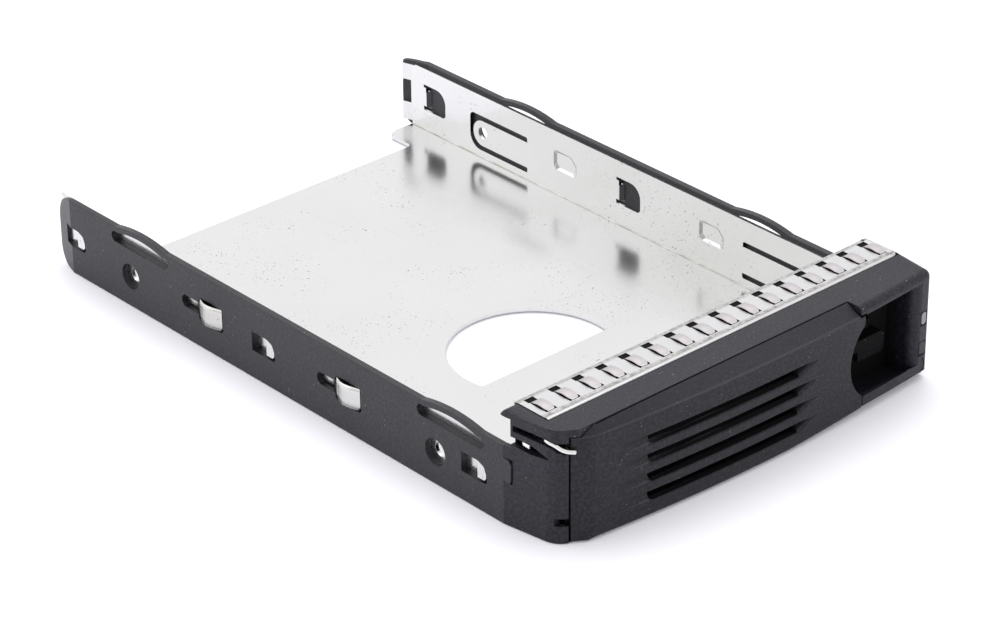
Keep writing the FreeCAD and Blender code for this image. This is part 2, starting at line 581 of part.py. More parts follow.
def make_lever():
    end_x = RECESS_LEFT - GAP
    corner = (PIVOT_X - 3.9, -34.9)
    bend = (PIVOT_X - 0.3, bow_front(PIVOT_X - 0.3) - 0.02, 5.0)
    past = (PIVOT_X + 3.7, bow_front(PIVOT_X + 3.7) - 0.03)
    plan = [corner, bend, past, (past[0], -50), (end_x, -50), (end_x, LEVER_EDGE - GAP), (PIVOT_X - 2.0, -33.9)]
    outer = front_form(0, 0.3, TOP)
    inner = front_form(SKIN, 2.0, TOP - 1.6)
    keep = block("xy", plan, 0, TOP)
    shell = outer.cut(inner).common(keep)
    hinge_room = box(PIVOT_X - 5.4, PIVOT_X + 2.1, -50, -30, GAP, CREASE_TOP)
    shell = shell.common(box(-60, 60, -50, LEVER_EDGE - GAP, -1, TOP + 1).fuse(hinge_room))
    facet = block("xy", [corner, bend, past, (PIVOT_X + 0.7, -36.6), (PIVOT_X - 3.25, -34.05)], GAP, CREASE_TOP)
    barrel = upright(PIVOT_X, PIVOT_Y, BARREL_R, PLATE + GAP, PLATE_LOW - GAP)
    link = block("xy", [(PIVOT_X - 2.6, -35.6), (PIVOT_X - 0.3, -37.2), (PIVOT_X + 4.1, -36.8),
                        (PIVOT_X + 2.9, PIVOT_Y - 0.8)], PLATE + GAP, PLATE_LOW - GAP)
    pieces = [shell, facet, barrel, link]
    catch_x = RECESS_LEFT - 8.5
    pieces.append(box(catch_x, catch_x + 7.3, CATCH_FRONT, CATCH_REAR, 14.4, 20.0))
    pieces.append(box(catch_x, catch_x + 4.4, -39.0, CATCH_REAR, 18.6, 20.0))
    pieces.append(box(catch_x, catch_x + 1.4, -39.5, CATCH_REAR, 3.8, 20.0))
    for x in (-23.5, -7.8):
        pieces.append(box(x, x + 3.8, -39.6, -36.6, 5.1, 7.0))
    room = outer.fuse(box(-60, 60, LEVER_EDGE - 1, -25, 0, CREASE_TOP))
    lever = pieces[0].multiFuse(pieces[1:]).common(room)
    cuts = []
    for top in VENT_TOPS:
        cuts += vent(top)
    cuts.append(Part.makeCylinder(SCOOP_R, 20, V(SCOOP_X, -45, SCOOP_Z), V(0, 1, 0)).cut(
        box(-60, 60, -37.2, -20, -5, 40)))
    cuts.append(box(STEP_X - GAP - 0.05, 40, -50, -30, RECESS_HIGH - 0.25, 30))
    cuts.append(box(-60, PIVOT_X + 1.5, -50, -30, CREASE_TOP, 30))
    cuts.append(upright(PIVOT_X, PIVOT_Y, PIN_R + PIN_RUN, -1, 30))
    for low, high in ((-1, PLATE + GAP), (PLATE_LOW - GAP, 30)):
        cuts.append(upright(PIVOT_X, PIVOT_Y, 2.43, low, high))
    return lever.cut(cuts).removeSplitter()


def coil(x, y, radius, low, high, turns, first, way):
    """Points on a helix about a vertical axis, twelve to a turn; it starts at the angle first, way is +1 or -1."""
    steps = round(turns * 12)
    points = []
    for i in range(steps + 1):
        angle = math.radians(first + way * 30 * i)
        height = low + (high - low) * i / steps
        points.append(V(x + radius * math.cos(angle), y + radius * math.sin(angle), height))
    return points


def wire_run(points, radius, sides):
    """Wire bent from point to point, drawn with a few flat sides so that it stays light."""
    way = (points[1] - points[0]).normalize()
    side = way.cross(V(0, 0, 1)).normalize()
    up = side.cross(way)
    ring = []
    for i in range(sides + 1):
        angle = 2 * math.pi * (i + 0.5) / sides
        ring.append(points[0] + side * (radius * math.cos(angle)) + up * (radius * math.sin(angle)))
    path = Part.Wire(Part.makePolygon(points).Edges)
    return path.makePipeShell([Part.makePolygon(ring)], True, False, 1)


def make_lever_spring():
    """A torsion spring: one leg rests in the low slot of the side wall, the other hooks over the lever's edge."""
    rear_y = COIL_Y + COIL_R
    front_y = COIL_Y - COIL_R
    left = -RAIL_OUT
    low_leg = [V(left + 1.07, -27.2, COIL_LOW), V(left + 1.22, -25.2, COIL_LOW), V(left + 2.82, rear_y, COIL_LOW)]
    turns = coil(COIL_X, COIL_Y, COIL_R, COIL_LOW, COIL_HIGH, 1.5, 90, -1)
    high_leg = [V(left + 3.42, front_y, COIL_HIGH), V(left + 2.22, -30.7, 22.75), V(left + 2.67, -32.7, 22.4),
                V(left + 3.27, -33.9, 21.7), V(PIVOT_X - 4.8, -34.9, 21.4), V(PIVOT_X - 3.7, -35.95, 21.3)]
    return wire_run(low_leg + turns + high_leg, WIRE_R, 6)


def make_latch():
    x = RECESS_LEFT
    pad_rear = MID_FRONT - GAP
    pad = [(x + 4.0, 8.6), (x + 12.0, 8.6, -0.8), (x + 12.0, 13.6, -0.8), (x + 4.0, 13.6)]
    stem = box(STEM_LEFT, STEM_RIGHT, pad_rear - 0.5, MID_REAR + 1, STEM_LOW, STEM_HIGH)
    flange = box(x + 4.8, x + 12.2, MID_REAR + GAP, MID_REAR + 1.5, SHELF_LOW, 16.4)
    shelf = box(x + 6.3, x + 10.7, MID_REAR + GAP, LATCH_SPRING_Y + 2.0, SHELF_LOW, SHELF_LOW + 1.2)
    nose = [(x - 3.2, 11.0), (x + 4.5, 11.0), (x + 4.5, 13.6), (x - 0.9, 13.6), (x - 0.9, 16.8), (x - 3.2, 15.6)]
    pieces = [block("xz", pad, NOSE_FRONT, pad_rear), stem, flange, shelf, block("xz", nose, NOSE_FRONT, NOSE_REAR)]
    return fuse(pieces)


def make_latch_spring():
    turns = coil(LATCH_SPRING_X, LATCH_SPRING_Y, LATCH_SPRING_R, PLATE + 0.25, SHELF_LOW - 0.3, 4.5, 0, 1)
    return wire_run(turns, 0.24, 4)


def make_strip():
    """The contact strip: it clips round the lip of the bezel, and its fingers rise to the rear."""
    low = STRIP_TOP - STRIP_T
    hem_low = LIP_LOW - 0.25
    clip = [(STRIP_FRONT, low), (STRIP_FRONT, STRIP_TOP), (STRIP_REAR, STRIP_TOP, 0.5),
            (STRIP_REAR, hem_low, -0.3), (STRIP_REAR - 2.2, hem_low), (STRIP_REAR - 2.2, hem_low + STRIP_T),
            (STRIP_REAR - STRIP_T, hem_low + STRIP_T, -0.2), (STRIP_REAR - STRIP_T, low, -0.2)]
    sheet = block("yz", clip, STRIP_LEFT, STRIP_RIGHT)
    windows = []
    blades = []
    for i in range(FINGERS):
        x = FINGER_LEFT + i * FINGER_PITCH
        window = [(x - 0.15, FINGER_ROOT), (x + FINGER_W + 0.3, FINGER_ROOT), (x + FINGER_W + 0.2, -20.1),
                  (x - 0.8, -20.1)]
        windows.append(block("xy", window, STRIP_TOP - 0.4, STRIP_TOP + 1))
        blade = [(FINGER_ROOT - 0.3, low), (FINGER_PEAK, low + FINGER_RISE), (FINGER_END, low + 0.12),
                 (FINGER_END, STRIP_TOP + 0.12), (FINGER_PEAK, STRIP_TOP + FINGER_RISE), (FINGER_ROOT - 0.3, STRIP_TOP)]
        blades.append(block("yz", blade, x, x + FINGER_W))
    corner = block("xy", [(STRIP_RIGHT - 3, STRIP_FRONT - 1), (STRIP_RIGHT + 1, STRIP_FRONT - 1),
                          (STRIP_RIGHT + 1, STRIP_FRONT + 2)], 20, 30)
    sheet = sheet.cut(windows + [corner])
    return sheet.multiFuse(blades).removeSplitter()


def make_pipe(low, high, width, radius):
    half = width / 2 - 0.02
    corners = [(PIPE_X - half, low + 0.02, radius), (PIPE_X + half, low + 0.02, radius),
               (PIPE_X + half, high - 0.02, radius), (PIPE_X - half, high - 0.02, radius)]
    return block("xz", corners, bow_front(PIPE_X) + 0.1, PIPE_REAR)


def make_screws():
    """Two thin head screws that hold the tray's tongue to the bezel, from below."""
    head_top = FLOOR_LOW + TONGUE_RISE - 0.01
    screws = []
    for x in (-SCREW_X, SCREW_X):
        profile = [(x, 0.25), (x + 2.4, 0.25), (x + 2.4, head_top), (x + SCREW_R, head_top), (x + SCREW_R, 8.0),
                   (x, 8.0)]
        face = Part.Face(outline("xz", profile, SCREW_Y))
        screws.append(face.revolve(V(x, SCREW_Y, 0), V(0, 0, 1), 360))
    return Part.makeCompound(screws)


def main():
    pin = upright(PIVOT_X, PIVOT_Y, PIN_R, 0.5, TOP - 0.5)
    rear_leaf = make_leaf(LEAF_REARS[0])
    front_leaf = make_leaf(LEAF_REARS[1])
    nodes = {
        "steel_tray": make_tray(),
        "left_rail": make_rail(-1, LEFT_ARCHES),
        "right_rail": make_rail(1, RIGHT_ARCHES),
        "front_bezel": make_bezel(),
        "ejector_lever": make_lever(),
        "lever_hinge_pin": pin,
        "lever_spring": make_lever_spring(),
        "contact_strip": make_strip(),
        "left_rear_side_spring": mirrored(rear_leaf),
        "left_front_side_spring": mirrored(front_leaf),
        "right_rear_side_spring": rear_leaf,
        "right_front_side_spring": front_leaf,
        "release_latch": make_latch(),
        "latch_spring": make_latch_spring(),
        "upper_light_pipe": make_pipe(PILL_LOW, PILL_HIGH, PILL_W, PILL_W / 2 - 0.05),
        "lower_light_pipe": make_pipe(PANE_LOW, PANE_HIGH, PANE_W, 0),
        "bezel_screws": make_screws(),
    }
    to_origin = V(0, -(BOW_Y + RAIL_REAR) / 2, 0)
    os.makedirs("parts", exist_ok=True)
    for name, shape in nodes.items():
        shape = shape.translated(to_origin)
        shape.exportStep("parts/" + name + ".step")
        size = shape.BoundBox
        print(name, len(shape.Solids), "solids", shape.isValid(), round(shape.Volume, 1),
              [round(v, 2) for v in (size.XMin, size.XMax, size.YMin, size.YMax, size.ZMin, size.ZMax)])


main()
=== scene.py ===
import bpy, math
from mathutils import Matrix, Vector


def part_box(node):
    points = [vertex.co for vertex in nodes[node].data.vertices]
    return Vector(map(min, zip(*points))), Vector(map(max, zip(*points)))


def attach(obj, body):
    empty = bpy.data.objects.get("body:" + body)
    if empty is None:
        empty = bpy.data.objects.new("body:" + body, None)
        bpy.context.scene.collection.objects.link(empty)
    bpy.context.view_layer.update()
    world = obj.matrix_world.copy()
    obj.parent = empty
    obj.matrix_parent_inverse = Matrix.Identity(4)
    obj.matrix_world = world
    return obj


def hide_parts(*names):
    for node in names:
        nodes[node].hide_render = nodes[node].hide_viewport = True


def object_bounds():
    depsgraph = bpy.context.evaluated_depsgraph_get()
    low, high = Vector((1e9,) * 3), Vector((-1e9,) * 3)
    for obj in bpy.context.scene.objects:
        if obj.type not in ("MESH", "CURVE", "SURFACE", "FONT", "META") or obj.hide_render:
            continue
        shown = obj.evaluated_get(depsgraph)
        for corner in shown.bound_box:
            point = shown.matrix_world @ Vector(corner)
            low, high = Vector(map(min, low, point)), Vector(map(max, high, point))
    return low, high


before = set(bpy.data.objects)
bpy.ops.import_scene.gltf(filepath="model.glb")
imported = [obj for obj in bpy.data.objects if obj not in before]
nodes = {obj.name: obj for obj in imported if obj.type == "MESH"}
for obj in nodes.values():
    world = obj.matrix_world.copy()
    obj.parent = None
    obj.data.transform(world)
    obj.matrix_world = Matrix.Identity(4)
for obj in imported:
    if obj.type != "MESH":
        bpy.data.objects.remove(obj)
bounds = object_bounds()

# The scene is in metres. What is listed in millimetres is multiplied by MM where it is used.
MM = 0.001
# The drawing's y less the scene's, in mm
DRAWING_Y = 44.95
# The lever's face is an arc in plan: its foremost point, its middle and its radius
BOW_FRONT = float(bounds[0][1])
BOW_MIDDLE = 9 * MM
BOW_R = 463 * MM

# Soft edges of marks on the plastic and the steel: an axis, where in mm the mark is 0, and where it is full.
# A fourth number is its share where it is full. The axis "side" is the distance from the middle plane.
# The next two masks are painted shade: the hollow behind the lever, and the strip's seat under the contact
# strip.
HOLLOW_SHADE = (("y", -79.8, -76.8), ("y", -67.0, -68.0), ("z", 25.0, 24.2), ("side", 47.8, 47.4))
SEAT_SHADE = (("y", -74.32, -74.22), ("y", -63.6, -63.8), ("z", 24.2, 24.6), ("x", -49.50, -49.40),
        ("x", 52.55, 52.45))
# The next two masks are painted highlights: the lever's crease, and its upper band.
CREASE = (("z", 23.82, 23.96), ("z", 24.26, 24.08, 0.30))
UPPER_BAND = (("z", 23.96, 24.02, 0.5),)
VENT_FADE = (("x", -37.5, -31.2), ("x", -30.3, -30.8))
VENT_INSIDE = (("z", 19.8, 19.4), ("y", -83.0, -83.4))
FOLD = (("side", 50.62, 50.78), ("z", 1.4, 1.18))
# Painted shade on the hooks' jog faces in the steel walls.
JOG_SHADE_ZONE = (("side", 51.05, 51.12), ("z", 6.2, 6.6), ("z", 12.2, 11.8))
STRIP_GROOVE = (("y", -73.1, -72.7), ("y", -71.5, -72.0))
STRIP_FOLD = (("y", -65.5, -64.8, 0.9),)
STRIP_FINGERS = (("z", 25.90, 26.04, 0.85),)

# The light pipes in the right cheek, in mm: their middles, and half sizes of the lower one's pane
PIPE_X, PILL_Z, PANE_Z = 50.2, 15.0, 7.8
PANE_HALF_X, PANE_HALF_Z = 1.05, 1.5
# Where the joints round them fade: beyond the pane, and from the pill's middle along x and along z
PANE_RIM, PILL_SIDE, PILL_END = (0.34, 0.22), (1.16, 1.02), (1.90, 1.72)
PIPE_FRONT = (("y", -82.5, -83.0, 0.9),)

# The lever's vents, in mm: top of the first one, and pitch
VENTS, VENT_TOP, VENT_PITCH = 4, 19.5, 4.4
# The two edges of a fading vent, painted: a lighter band below as a painted highlight, and a near-black line
# at its top as a painted shadow. Drop from its top, half width, colour and share
VENT_EDGE_LIGHT_AND_SHADE = ((2.05, 0.26, (0.060, 0.060, 0.068), 0.65), (0.05, 0.20, (0.001, 0.001, 0.0012), 0.9))
# Their insides, darkened as painted shade: how far behind the lever's face, and where along x they start from
# their least share
VENT_BEHIND, VENT_START, VENT_LEAST = (0.15, 0.50), (-31.6, -30.8), 0.15

# Colours of marks
DUST = (0.30, 0.29, 0.28)
# Painted shade for the bezel's hollow and the strip's seat, also the colour of the light pipes' dark joints
SHADE_AND_JOINT_BLACK = (0.0015, 0.0015, 0.0018)
# Painted shade inside the lever's vents
VENT_SHADE_BLACK = (0.0010, 0.0010, 0.0012)
# Painted highlight on the lever's crease
CREASE_HIGHLIGHT = (0.13, 0.13, 0.15)
# Painted highlight on the lever's upper band
BAND_HIGHLIGHT = (0.022, 0.022, 0.028)
RUBBED = (0.45, 0.44, 0.42)
SPECK = (0.12, 0.11, 0.10)
FOLD_DIRT = (0.30, 0.28, 0.22)
# Painted shade on the hooks' jog faces
JOG_SHADE = (0.05, 0.05, 0.055)
STRIP_STAIN = (0.27, 0.26, 0.24)
STRIP_RAISED = (0.47, 0.44, 0.45)


# Helpers for shader graphs
def new_material(name):
    """Material with a bare Principled shader, and its texture coordinates."""
    mat = bpy.data.materials.new(name)
    mat.use_nodes = True
    tree = mat.node_tree
    tree.nodes.clear()
    out = tree.nodes.new("ShaderNodeOutputMaterial")
    shader = tree.nodes.new("ShaderNodeBsdfPrincipled")
    tree.links.new(shader.outputs["BSDF"], out.inputs["Surface"])
    coord = tree.nodes.new("ShaderNodeTexCoord")
    return mat, tree, shader, coord


def noise(tree, coord, scale, detail, stretch=None):
    """Noise on the object's own coordinates, which stretch scales along each axis."""
    node = tree.nodes.new("ShaderNodeTexNoise")
    node.inputs["Scale"].default_value = scale
    node.inputs["Detail"].default_value = detail
    place = coord.outputs["Object"]
    if stretch:
        mapping = tree.nodes.new("ShaderNodeMapping")
        mapping.inputs["Scale"].default_value = stretch
        tree.links.new(place, mapping.inputs["Vector"])
        place = mapping.outputs["Vector"]
    tree.links.new(place, node.inputs["Vector"])
    return node.outputs["Fac"]


def ramp(tree, value, stops):
    """Colour that changes with value, from stops of (value, colour)."""
    node = tree.nodes.new("ShaderNodeValToRGB")
    elements = node.color_ramp.elements
    for element, (position, colour) in zip(elements, stops):
        element.position = position
        element.color = (*colour, 1.0)
    tree.links.new(value, node.inputs["Fac"])
    return node.outputs["Color"]


def spread(tree, value, low, high, low_to=0, high_to=1):
    """Maps low to low_to and high to high_to, and keeps what lies beyond at its end."""
    node = tree.nodes.new("ShaderNodeMapRange")
    node.inputs["From Min"].default_value = low
    node.inputs["From Max"].default_value = high
    node.inputs["To Min"].default_value = low_to
    node.inputs["To Max"].default_value = high_to
    tree.links.new(value, node.inputs["Value"])
    return node.outputs["Result"]


def tint(tree, factor, base, colour):
    """Mixes a base socket towards a plain colour. Sockets 6, 7 and 2 are the Mix node's colour ones."""
    node = tree.nodes.new("ShaderNodeMix")
    node.data_type = "RGBA"
    tree.links.new(factor, node.inputs[0])
    tree.links.new(base, node.inputs[6])
    node.inputs[7].default_value = (*colour, 1.0)
    return node.outputs[2]


def maths(tree, operation, one, two=None):
    """One Math node. Its second value is a socket, a number or nothing."""
    node = tree.nodes.new("ShaderNodeMath")
    node.operation = operation
    tree.links.new(one, node.inputs[0])
    if isinstance(two, bpy.types.NodeSocket):
        tree.links.new(two, node.inputs[1])
    elif two is not None:
        node.inputs[1].default_value = two
    return node.outputs[0]


def times(tree, product, *others):
    for other in others:
        product = maths(tree, "MULTIPLY", product, other)
    return product


def most(tree, one, two):
    return maths(tree, "MAXIMUM", one, two)


def less(tree, value, by):
    """The value less a length in mm."""
    return maths(tree, "ADD", value, -by * MM)


def away(tree, value, middle):
    """How far the value lies from a middle in mm, on either side."""
    return maths(tree, "ABSOLUTE", less(tree, value, middle))


def edge(tree, value, empty, full, share=1):
    """Soft edge of a mark: 0 where the value is empty mm, and share where it is full mm."""
    return spread(tree, value, empty * MM, full * MM, high_to=share)


def axes_of(tree, coord):
    """The object's coordinates by name, with the distance from the middle plane as side."""
    split = tree.nodes.new("ShaderNodeSeparateXYZ")
    tree.links.new(coord.outputs["Object"], split.inputs[0])
    x = split.outputs["X"]
    return {"x": x, "y": split.outputs["Y"], "z": split.outputs["Z"], "side": maths(tree, "ABSOLUTE", x)}


def region(tree, axes, edges):
    """Mask of a mark that lies between soft edges."""
    return times(tree, *[edge(tree, axes[axis], *ends) for axis, *ends in edges])


def relief(tree, shader, radius, layers):
    """Rounds every edge by a small radius and adds layers of fine bumps (height, distance, strength)."""
    bevel = tree.nodes.new("ShaderNodeBevel")
    bevel.samples = 6
    bevel.inputs["Radius"].default_value = radius
    normal = bevel.outputs["Normal"]
    for height, distance, strength in layers:
        bump = tree.nodes.new("ShaderNodeBump")
        bump.inputs["Distance"].default_value = distance
        bump.inputs["Strength"].default_value = strength
        tree.links.new(height, bump.inputs["Height"])
        tree.links.new(normal, bump.inputs["Normal"])
        normal = bump.outputs["Normal"]
    tree.links.new(normal, shader.inputs["Normal"])


def dulled(tree, rough, deep):
    """Roughness that rises to nearly 1 where a mark is deep."""
    return most(tree, rough, spread(tree, deep, 0, 1, high_to=0.95))


# Materials
def bezel_marks(tree, coord, colour, rough):
    """Dark places of the bezel: painted shade in the hollow behind the lever and on the strip's seat, and the
    light pipes' dark joints.
    """
    axes = axes_of(tree, coord)
    deep = most(tree, region(tree, axes, HOLLOW_SHADE), region(tree, axes, SEAT_SHADE))
    aside = away(tree, axes["x"], PIPE_X)
    pane_z = away(tree, axes["z"], PANE_Z)
    pane = most(tree, less(tree, aside, PANE_HALF_X), less(tree, pane_z, PANE_HALF_Z))
    pill_z = away(tree, axes["z"], PILL_Z)
    pill = times(tree, edge(tree, aside, *PILL_SIDE), edge(tree, pill_z, *PILL_END))
    joints = most(tree, edge(tree, pane, *PANE_RIM), pill)
    deep = most(tree, deep, times(tree, joints, region(tree, axes, PIPE_FRONT)))
    # Painted shade in the hollow and on the seat, and the dark joints round the light pipes
    return tint(tree, deep, colour, SHADE_AND_JOINT_BLACK), dulled(tree, rough, deep)


def lever_marks(tree, coord, colour, rough):
    """Painted light and shade on the lever: painted highlights on the crease under its upper band and on the
    band, painted highlights and shadows along its vents' fading ends, and painted shade in their insides.
    """
    axes = axes_of(tree, coord)
    flat = tree.nodes.new("ShaderNodeCombineXYZ")
    tree.links.new(axes["x"], flat.inputs[0])
    tree.links.new(axes["y"], flat.inputs[1])
    reach = tree.nodes.new("ShaderNodeVectorMath")
    reach.operation = "DISTANCE"
    tree.links.new(flat.outputs[0], reach.inputs[0])
    reach.inputs[1].default_value = (BOW_MIDDLE, BOW_FRONT + BOW_R, 0)
    # Painted highlights on the crease and on the upper band
    colour = tint(tree, region(tree, axes, CREASE), colour, CREASE_HIGHLIGHT)
    colour = tint(tree, region(tree, axes, UPPER_BAND), colour, BAND_HIGHLIGHT)
    # Painted highlight and painted shadow along each vent's fading end
    fade = region(tree, axes, VENT_FADE)
    for vent in range(VENTS):
        top = VENT_TOP - vent * VENT_PITCH
        for drop, half, shade, share in VENT_EDGE_LIGHT_AND_SHADE:
            band = edge(tree, away(tree, axes["z"], top - drop), half, half * 0.25, share)
            colour = tint(tree, times(tree, band, fade), colour, shade)
    # Painted shade inside the vents
    near, far = VENT_BEHIND
    behind = spread(tree, reach.outputs["Value"], BOW_R - near * MM, BOW_R - far * MM)
    left, right = VENT_START
    start = spread(tree, axes["x"], left * MM, right * MM, low_to=VENT_LEAST)
    deep = times(tree, behind, start, region(tree, axes, VENT_INSIDE))
    return tint(tree, deep, colour, VENT_SHADE_BLACK), dulled(tree, rough, deep)


def plastic(name, dark, light, rough, grain, gloss=0.38, marks=None):
    """Black moulded plastic: a fine spark texture, faint mottling, specks of dust, and marks of its own,
    which for the bezel and the lever are mostly painted shade and highlights.
    """
    mat, tree, shader, coord = new_material(name)
    cloud = noise(tree, coord, scale=60, detail=4)
    mottle = noise(tree, coord, scale=1500, detail=3)
    specks = noise(tree, coord, scale=2100, detail=1)
    crowd = noise(tree, coord, scale=170, detail=2)
    spark = noise(tree, coord, scale=grain, detail=2)
    pale = tuple(2.1 * channel for channel in light)
    colour = ramp(tree, cloud, [(0.35, dark), (0.7, light)])
    colour = tint(tree, spread(tree, mottle, 0.42, 0.66, high_to=0.75), colour, pale)
    dust = times(tree, spread(tree, specks, 0.745, 0.775), spread(tree, crowd, 0.50, 0.58, high_to=0.9))
    colour = tint(tree, dust, colour, DUST)
    rough_value = spread(tree, cloud, 0.3, 0.7, rough - 0.05, rough + 0.06)
    if marks:
        colour, rough_value = marks(tree, coord, colour, rough_value)
    tree.links.new(colour, shader.inputs["Base Color"])
    tree.links.new(rough_value, shader.inputs["Roughness"])
    shader.inputs["Specular IOR Level"].default_value = gloss
    relief(tree, shader, 0.22 * MM, [(spark, 0.08 * MM, 0.5), (mottle, 0.05 * MM, 0.35)])
    return mat


def steel(name, colour, stained, rough, radius):
    """Bright coated sheet: faint spangle, dark specks, a few long rubs, dirt in its folds, and painted shade
    on the hooks' jog faces that face forward.
    """
    mat, tree, shader, coord = new_material(name)
    shader.inputs["Metallic"].default_value = 1.0
    cloud = noise(tree, coord, scale=26, detail=5)
    rubs = noise(tree, coord, scale=40, detail=3, stretch=(30.0, 0.8, 1.0))
    specks = noise(tree, coord, scale=2200, detail=0)
    crowd = noise(tree, coord, scale=60, detail=2)
    grime = noise(tree, coord, scale=220, detail=4)
    wave = noise(tree, coord, scale=55, detail=2)
    grain = noise(tree, coord, scale=2600, detail=2)
    base = ramp(tree, cloud, [(0.35, colour), (0.75, stained)])
    base = tint(tree, spread(tree, rubs, 0.64, 0.74, high_to=0.10), base, RUBBED)
    speck = spread(tree, specks, 0.765, 0.79, high_to=0.95)
    speck = times(tree, speck, spread(tree, crowd, 0.40, 0.60, low_to=0.1))
    base = tint(tree, times(tree, speck, speck), base, SPECK)
    axes = axes_of(tree, coord)
    dirt = times(tree, region(tree, axes, FOLD), spread(tree, grime, 0.30, 0.62, 0.35, 0.85))
    base = tint(tree, dirt, base, FOLD_DIRT)
    # Painted shade: steel faces that face forward in the jog zone are darkened
    facing = tree.nodes.new("ShaderNodeNewGeometry")
    split = tree.nodes.new("ShaderNodeSeparateXYZ")
    tree.links.new(facing.outputs["True Normal"], split.inputs[0])
    faces_front = spread(tree, split.outputs["Y"], -0.5, -0.7, high_to=0.93)
    base = tint(tree, times(tree, faces_front, region(tree, axes, JOG_SHADE_ZONE)), base, JOG_SHADE)
    tree.links.new(base, shader.inputs["Base Color"])
    rough_value = spread(tree, cloud, 0.3, 0.7, rough, rough + 0.07)
    dirty = spread(tree, dirt, 0, 1, high_to=0.6)
    tree.links.new(most(tree, rough_value, dirty), shader.inputs["Roughness"])
    relief(tree, shader, radius, [(wave, 0.25 * MM, 0.10), (grain, 0.02 * MM, 0.16)])
    return mat


def contact_metal():
    """Tinned strip: bright, with a rough grey-brown band behind its front bead and along its rear fold."""
    mat, tree, shader, coord = new_material("contact_metal")
    shader.inputs["Metallic"].default_value = 1.0
    cloud = noise(tree, coord, scale=300, detail=4)
    blotch = noise(tree, coord, scale=900, detail=5)
    base = ramp(tree, cloud, [(0.3, (0.62, 0.62, 0.625)), (0.8, (0.54, 0.535, 0.53))])
    axes = axes_of(tree, coord)
    bands = most(tree, region(tree, axes, STRIP_GROOVE), region(tree, axes, STRIP_FOLD))
    stain = times(tree, bands, spread(tree, blotch, 0.34, 0.62, 0.30, 0.95))
    base = tint(tree, stain, base, STRIP_STAIN)
    raised = region(tree, axes, STRIP_FINGERS)
    base = tint(tree, raised, base, STRIP_RAISED)
    tree.links.new(base, shader.inputs["Base Color"])
    worn = most(tree, spread(tree, stain, 0, 1, high_to=0.6),
                spread(tree, raised, 0, 0.85, high_to=0.52))
    rough_value = most(tree, spread(tree, cloud, 0.3, 0.7, 0.26, 0.38), worn)
    tree.links.new(rough_value, shader.inputs["Roughness"])
    relief(tree, shader, 0.04 * MM, [(blotch, 0.04 * MM, 0.35)])
    return mat


def clear_plastic():
    """Frosted end of a light pipe."""
    mat, tree, shader, coord = new_material("clear_plastic")
    cloud = noise(tree, coord, scale=900, detail=3)
    base = ramp(tree, cloud, [(0.3, (0.26, 0.27, 0.27)), (0.7, (0.36, 0.36, 0.36))])
    tree.links.new(base, shader.inputs["Base Color"])
    shader.inputs["Roughness"].default_value = 0.3
    shader.inputs["Transmission Weight"].default_value = 0.3
    shader.inputs["Coat Weight"].default_value = 0.4
    relief(tree, shader, 0.1 * MM, [(cloud, 0.03 * MM, 0.2)])
    return mat


black = plastic("black_plastic", (0.0078, 0.0080, 0.0112), (0.0115, 0.0118, 0.0165), rough=0.42,
                grain=3800, gloss=0.27, marks=bezel_marks)
rail_black = plastic("rail_plastic", (0.0088, 0.0089, 0.0112), (0.0126, 0.0128, 0.0162), rough=0.38,
                     grain=3600, gloss=0.36)
lever_black = plastic("lever_plastic", (0.0074, 0.0075, 0.0100), (0.0112, 0.0114, 0.0150), rough=0.45,
                      grain=3600, gloss=0.23, marks=lever_marks)
# Much darker than the other plastics: painted shade for the latch in its recess and for the parts in shade
# under and behind the lever; the cheek's dark joint line uses it too.
shaded_black = plastic("shaded_latch_plastic", (0.0016, 0.0016, 0.0020), (0.003, 0.003, 0.0036), rough=0.72,
                      grain=3600, gloss=0.12)
pane_black = plastic("pane_plastic", (0.010, 0.010, 0.012), (0.016, 0.016, 0.019), rough=0.30, grain=3000)
sheet = steel("zinc_steel", (0.675, 0.675, 0.672), (0.64, 0.64, 0.632), rough=0.17, radius=0.10 * MM)
spring_steel = steel("spring_steel", (0.76, 0.75, 0.73), (0.68, 0.675, 0.66), rough=0.16, radius=0.06 * MM)
leaf_steel = steel("leaf_steel", (0.60, 0.59, 0.575), (0.55, 0.54, 0.52), rough=0.20, radius=0.04 * MM)
strip_metal = contact_metal()
clear = clear_plastic()

looks = {
    "steel_tray": sheet, "left_rail": rail_black, "right_rail": rail_black, "front_bezel": black,
    "ejector_lever": lever_black, "release_latch": shaded_black, "lever_hinge_pin": spring_steel,
    "lever_spring": spring_steel, "latch_spring": spring_steel, "bezel_screws": spring_steel,
    "contact_strip": strip_metal, "left_rear_side_spring": leaf_steel, "left_front_side_spring": leaf_steel,
    "right_rear_side_spring": leaf_steel, "right_front_side_spring": leaf_steel,
    "upper_light_pipe": clear, "lower_light_pipe": pane_black,
}
for name, mat in looks.items():
    materials = nodes[name].data.materials
    if len(materials) == 0:
        materials.append(mat)
    for i in range(len(materials)):
        materials[i] = mat


# Helpers for pieces that stand for nodes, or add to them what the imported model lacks
def own_piece(name, verts, faces, mat, slot, body, node=None):
    """Makes a piece from a mesh. It rides a body, and replaces a node if one is named."""
    mesh = bpy.data.meshes.new(name)
    mesh.from_pydata(verts, [], faces)
    mesh.update()
    mesh.materials.append(mat)
    piece = bpy.data.objects.new(name, mesh)
    bpy.context.collection.objects.link(piece)
    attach(piece, body)
    if node:
        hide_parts(node)
    return piece


def thicken(piece, thickness, offset):
    """Gives a sheet its thickness: behind its faces at offset -1, half on each side at 0."""
    modifier = piece.modifiers.new("thickness", "SOLIDIFY")
    modifier.thickness = thickness
    modifier.offset = offset


def clamp(value):
    return min(1.0, max(0.0, value))


def bow_at(x):
    """The lever's bowed face in plan."""
    return BOW_FRONT + BOW_R - math.sqrt(BOW_R ** 2 - (x - BOW_MIDDLE) ** 2)


